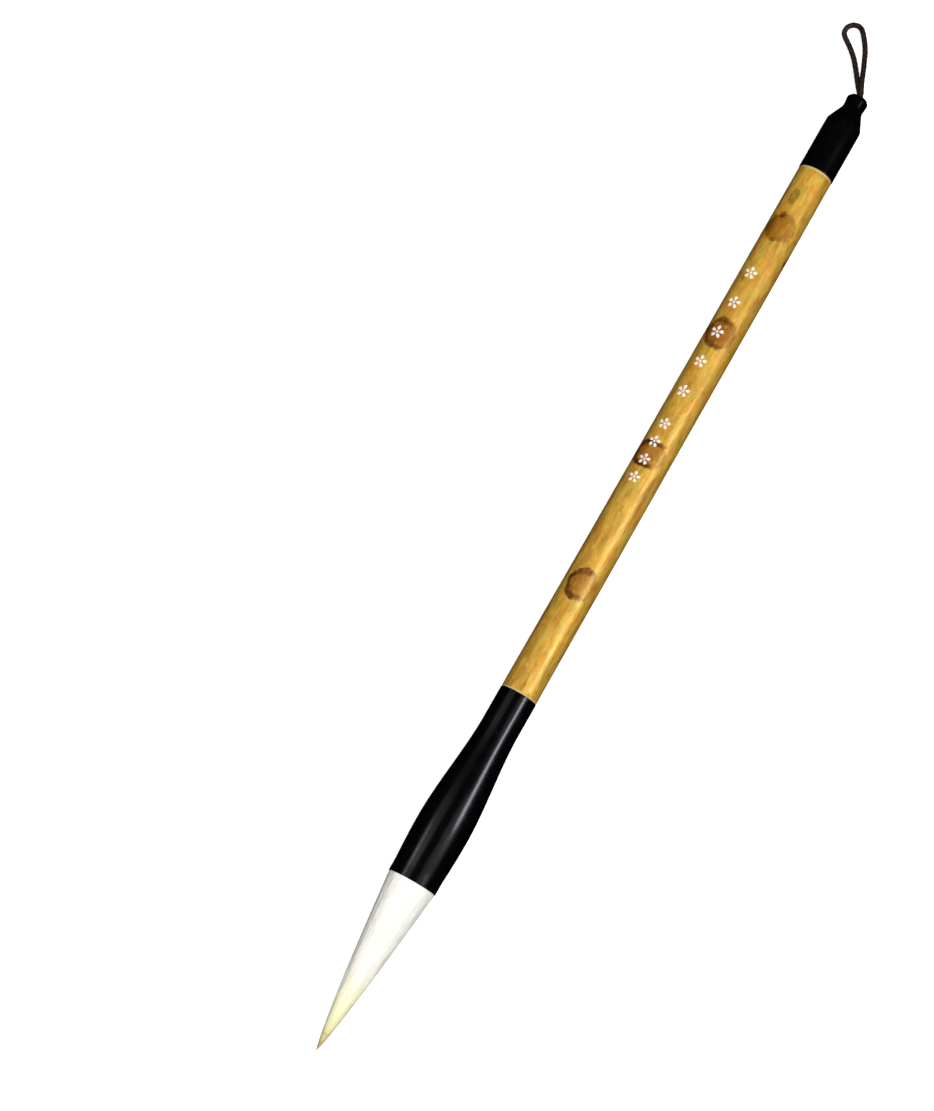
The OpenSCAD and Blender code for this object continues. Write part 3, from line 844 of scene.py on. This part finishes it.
def strand_tree():
    """Single hairs laid on the tuft's cone, each from its root to a tip of its own."""
    tree = bpy.data.node_groups.new("hair_strands", "GeometryNodeTree")
    sockets = (("Strands", "Int"), ("Steps", "Int"), ("Root Station", "Float"), ("Nearest Tip", "Float"),
               ("Farthest Tip", "Float"), ("Hair Radius", "Float"), ("Sunk", "Float"),
               ("Root Depth", "Float"), ("Tuft Radius", "Float"), ("Tuft Length", "Float"),
               ("Taper Power", "Float"), ("Seed", "Int"), ("Hair", "Material"))
    tree.interface.new_socket("Geometry", in_out="INPUT", socket_type="NodeSocketGeometry")
    for name, kind in sockets:
        tree.interface.new_socket(name, in_out="INPUT", socket_type="NodeSocket" + kind)
    tree.interface.new_socket("Geometry", in_out="OUTPUT", socket_type="NodeSocketGeometry")
    given = add(tree, "NodeGroupInput").outputs

    def chance(low, high, shift):
        seed = sums(tree, "ADD", given["Seed"], shift)
        return add(tree, "FunctionNodeRandomValue", {2: low, 3: high, "Seed": seed}).outputs[1]

    def kept(geometry, name, value):
        return add(tree, "GeometryNodeStoreNamedAttribute", {
            "Geometry": geometry, "Name": name, "Value": value}).outputs[0]

    def recalled(name):
        return add(tree, "GeometryNodeInputNamedAttribute", {"Name": name}).outputs[0]

    roots = add(tree, "GeometryNodePoints", {"Count": given["Strands"]}).outputs[0]
    roots = kept(roots, "roll", chance(-math.pi, math.pi, 1))
    roots = kept(roots, "ends_at", chance(given["Nearest Tip"], given["Farthest Tip"], 2))
    roots = kept(roots, "tone", chance(0.0, 1.0, 3))
    roots = kept(roots, "sunk", chance(0.0, 1.0, 4))
    line = add(tree, "GeometryNodeCurvePrimitiveLine", {"Start": (0, 0, 0), "End": (1, 0, 0)}).outputs[0]
    line = add(tree, "GeometryNodeResampleCurve", {"Curve": line, "Count": given["Steps"]}).outputs[0]
    hairs = add(tree, "GeometryNodeInstanceOnPoints", {"Points": roots, "Instance": line}).outputs[0]
    hairs = add(tree, "GeometryNodeRealizeInstances", {"Geometry": hairs}).outputs[0]
    share = add(tree, "GeometryNodeSplineParameter").outputs["Factor"]
    run = sums(tree, "SUBTRACT", recalled("ends_at"), given["Root Station"])
    station = sums(tree, "MULTIPLY_ADD", share, run, given["Root Station"])
    hairs = kept(hairs, "station", station)
    station = recalled("station")
    taper = sums(tree, "POWER", sums(tree, "DIVIDE", sums(tree, "MINIMUM", station, given["Tuft Length"]),
                                     given["Tuft Length"]), given["Taper Power"])
    depth = sums(tree, "MULTIPLY", recalled("sunk"), given["Sunk"])
    dive = sums(tree, "MULTIPLY", sums(tree, "POWER", share, 6.0), given["Sunk"])
    rise = sums(tree, "MULTIPLY", sums(tree, "SUBTRACT", 1.0, share), given["Root Depth"])
    depth = sums(tree, "MULTIPLY_ADD", rise, sums(tree, "ADD", recalled("sunk"), 0.3), depth)
    reach = sums(tree, "MULTIPLY", given["Tuft Radius"], taper)
    reach = sums(tree, "SUBTRACT", reach, sums(tree, "ADD", depth, dive))
    sway = sums(tree, "MULTIPLY", recalled("tone"), 40.0)
    drift = sums(tree, "SINE", sums(tree, "MULTIPLY_ADD", share, 5.0, sway))
    roll = sums(tree, "MULTIPLY_ADD", drift, 0.035, recalled("roll"))
    spot = add(tree, "ShaderNodeCombineXYZ", {
        0: station, 1: sums(tree, "MULTIPLY", reach, sums(tree, "SINE", roll)),
        2: sums(tree, "MULTIPLY", reach, sums(tree, "COSINE", roll))}).outputs[0]
    hairs = add(tree, "GeometryNodeSetPosition", {"Geometry": hairs, "Position": spot}).outputs[0]
    thin = sums(tree, "SUBTRACT", 1.0, sums(tree, "MULTIPLY", sums(tree, "POWER", share, 3.0), 0.8))
    hairs = add(tree, "GeometryNodeSetCurveRadius", {"Curve": hairs, "Radius": thin}).outputs[0]
    ring = add(tree, "GeometryNodeCurvePrimitiveCircle", {
        "Resolution": 4, "Radius": given["Hair Radius"]}).outputs[0]
    hairs = add(tree, "GeometryNodeCurveToMesh", {"Curve": hairs, "Profile Curve": ring, "Fill Caps": True})
    if "Scale" in hairs.inputs:
        tree.links.new(add(tree, "GeometryNodeInputRadius").outputs[0], hairs.inputs["Scale"])
    hairs = add(tree, "GeometryNodeRealizeInstances", {"Geometry": hairs.outputs[0]}).outputs[0]
    hairs = add(tree, "GeometryNodeSetMaterial", {"Geometry": hairs, "Material": given["Hair"]}).outputs[0]
    add(tree, "NodeGroupOutput", {"Geometry": hairs})
    return tree


def grow(name, tree, settings):
    """Runs a node tree on an empty mesh and keeps its result as a plain mesh in its place."""
    source = bpy.data.objects.new(name + "_source", bpy.data.meshes.new(name + "_source"))
    bpy.context.scene.collection.objects.link(source)
    modifier = source.modifiers.new("grow", "NODES")
    modifier.node_group = tree
    for socket in tree.interface.items_tree:
        if socket.in_out == "INPUT" and socket.name in settings:
            modifier[socket.identifier] = settings[socket.name]
    view = bpy.context.evaluated_depsgraph_get()
    mesh = bpy.data.meshes.new_from_object(source.evaluated_get(view), depsgraph=view)
    bpy.data.objects.remove(source)
    mesh.name = name
    mesh.transform(brush_frame)
    mesh.shade_smooth()
    piece = bpy.data.objects.new(name, mesh)
    bpy.context.scene.collection.objects.link(piece)
    return piece


strands = strand_tree()
tuft_shape = {"Tuft Length": HAIR_LEN, "Tuft Radius": HAIR_R, "Taper Power": TAPER_POWER}
mantle_strands = grow("mantle_strands", strands, {
    "Strands": 1100, "Steps": 20, "Root Station": MOUTH + 0.8, "Nearest Tip": 1.5, "Farthest Tip": 20.0,
    "Hair Radius": 0.07, "Sunk": 0.1, "Root Depth": 0.0, "Seed": 11, "Hair": goat, **tuft_shape})
bending(mantle_strands, "goat_hair")
core_strands = grow("core_strands", strands, {
    "Strands": 320, "Steps": 14, "Root Station": 15.0, "Nearest Tip": 0.15, "Farthest Tip": 3.5,
    "Hair Radius": 0.045, "Sunk": 0.09, "Root Depth": 0.7, "Seed": 23, "Hair": weasel, **tuft_shape})
bending(core_strands, "weasel_hair")


# ------------------------------------------------------------------------- threads and glue
# Red thread ties the core, and white thread ties the whole root. The root's end is sealed with
# melted rosin, and glue holds it in the cup and the bamboo's tenons in their sockets.
def twisted_thread(name, light, dark):
    material, tree, shader = surface(name)
    fibre = cloudy(tree, brush_coordinates(tree, (0.2, 0.8, 0.8)), 1.4, 3)
    tree.links.new(paint_over(tree, spread(tree, fibre, 0.3, 0.7), light, dark), shader.inputs["Base Color"])
    tree.links.new(spread(tree, fibre, 0.3, 0.7, 0.65, 0.85), shader.inputs["Roughness"])
    relief(tree, shader, fibre, 0.03)
    return material


def clear_resin(name, light, dark, roughness):
    material, tree, shader = surface(name)
    cloud = cloudy(tree, brush_coordinates(tree), 0.7, 4)
    tree.links.new(paint_over(tree, spread(tree, cloud, 0.3, 0.7), light, dark), shader.inputs["Base Color"])
    tree.links.new(spread(tree, cloud, 0.3, 0.7, roughness, roughness + 0.2), shader.inputs["Roughness"])
    relief(tree, shader, cloud, 0.1)
    return material


THREAD_R = 0.2


def winding_tree():
    """Turns of thread wound side by side, from a spiral with a round section."""
    tree = bpy.data.node_groups.new("thread_winding", "GeometryNodeTree")
    tree.interface.new_socket("Geometry", in_out="INPUT", socket_type="NodeSocketGeometry")
    for name, kind in (("Turns", "Float"), ("Winding Radius", "Float"), ("Pitch", "Float"),
                       ("Start", "Float"), ("Thread Radius", "Float"), ("Thread", "Material")):
        tree.interface.new_socket(name, in_out="INPUT", socket_type="NodeSocket" + kind)
    tree.interface.new_socket("Geometry", in_out="OUTPUT", socket_type="NodeSocketGeometry")
    given = add(tree, "NodeGroupInput").outputs
    coil = add(tree, "GeometryNodeCurveSpiral", {
        "Resolution": 48, "Rotations": given["Turns"], "Start Radius": given["Winding Radius"],
        "End Radius": given["Winding Radius"],
        "Height": sums(tree, "MULTIPLY", given["Turns"], given["Pitch"])}).outputs[0]
    shift = add(tree, "ShaderNodeCombineXYZ", {0: given["Start"]}).outputs[0]
    coil = add(tree, "GeometryNodeTransform", {
        "Geometry": coil, "Rotation": (0, math.pi / 2, 0), "Translation": shift}).outputs[0]
    ring = add(tree, "GeometryNodeCurvePrimitiveCircle", {
        "Resolution": 10, "Radius": given["Thread Radius"]}).outputs[0]
    wound = add(tree, "GeometryNodeCurveToMesh", {
        "Curve": coil, "Profile Curve": ring, "Fill Caps": True}).outputs[0]
    wound = add(tree, "GeometryNodeRealizeInstances", {"Geometry": wound}).outputs[0]
    wound = add(tree, "GeometryNodeSetMaterial", {"Geometry": wound, "Material": given["Thread"]}).outputs[0]
    add(tree, "NodeGroupOutput", {"Geometry": wound})
    return tree


winding = winding_tree()
red = twisted_thread("red_thread", (0.50, 0.06, 0.045, 1), (0.30, 0.03, 0.025, 1))
white = twisted_thread("white_thread", (0.86, 0.84, 0.78, 1), (0.66, 0.62, 0.54, 1))
core_root_r = CORE_SHARE * tuft_r(ROOT_AT)
for name, turns, radius, start, thread, slot_name, node in (
        ("core_thread_winding", 3, core_root_r, ROOT_AT - 2.7, red, "red_thread", "core_thread"),
        ("root_thread_winding", 6, WAIST_R, WAIST_FROM + 0.15, white, "white_thread", "root_thread")):
    wound = grow(name, winding, {
        "Turns": turns, "Winding Radius": radius + THREAD_R, "Pitch": 2.1 * THREAD_R,
        "Start": start, "Thread Radius": THREAD_R, "Thread": thread})
    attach(wound, "brush")
    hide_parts(node)

rosin = clear_resin("rosin", (0.36, 0.17, 0.05, 1), (0.16, 0.06, 0.02, 1), 0.15)
glue = clear_resin("dried_glue", (0.74, 0.64, 0.38, 1), (0.55, 0.43, 0.2, 1), 0.3)
SEAL_END = ROOT_AT + 1
CUP_GLUE_R = 4.92
rosin_outline = [(0, ROOT_AT)] + softened([
    (2, ROOT_AT, 0), (4.5, ROOT_AT, 0.1), (4.3, ROOT_AT + 0.7, 0.4), (3.4, SEAL_END, 0.3), (2, SEAL_END, 0),
]) + [(0, SEAL_END)]
for name, outline, material, slot_name, node in (
        ("rosin_seal", rosin_outline, rosin, "rosin", "root_rosin"),
        ("cup_glue_fill", softened([
            (VENT_R, MOUTH + CUP_DEPTH, 0.05), (VENT_R, SEAL_END, 0.05), (CUP_GLUE_R, SEAL_END, 0.1),
            (CUP_GLUE_R, MOUTH + 9, 0.1), (CUP_R, MOUTH + 9, 0.05), (CUP_R, MOUTH + CUP_DEPTH, 0.1)]),
         glue, "glue", "cup_glue"),
        ("ferrule_glue_film", softened([
            (TENON_R, FERRULE_END - 0.4, 0), (TENON_R, FERRULE_END - 11, 0),
            (SOCKET_R, FERRULE_END - 11, 0), (SOCKET_R, FERRULE_END - 0.4, 0)]),
         glue, "glue", "ferrule_joint_glue"),
        ("cap_glue_film", softened([
            (TENON_R, HANDLE_END + 8, 0), (TENON_R, HANDLE_END + 0.4, 0),
            (SOCKET_R, HANDLE_END + 0.4, 0), (SOCKET_R, HANDLE_END + 8, 0)]),
         glue, "glue", "cap_joint_glue")):
    piece = turned(name, outline, 96, material)
    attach(piece, "brush")
    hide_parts(node)
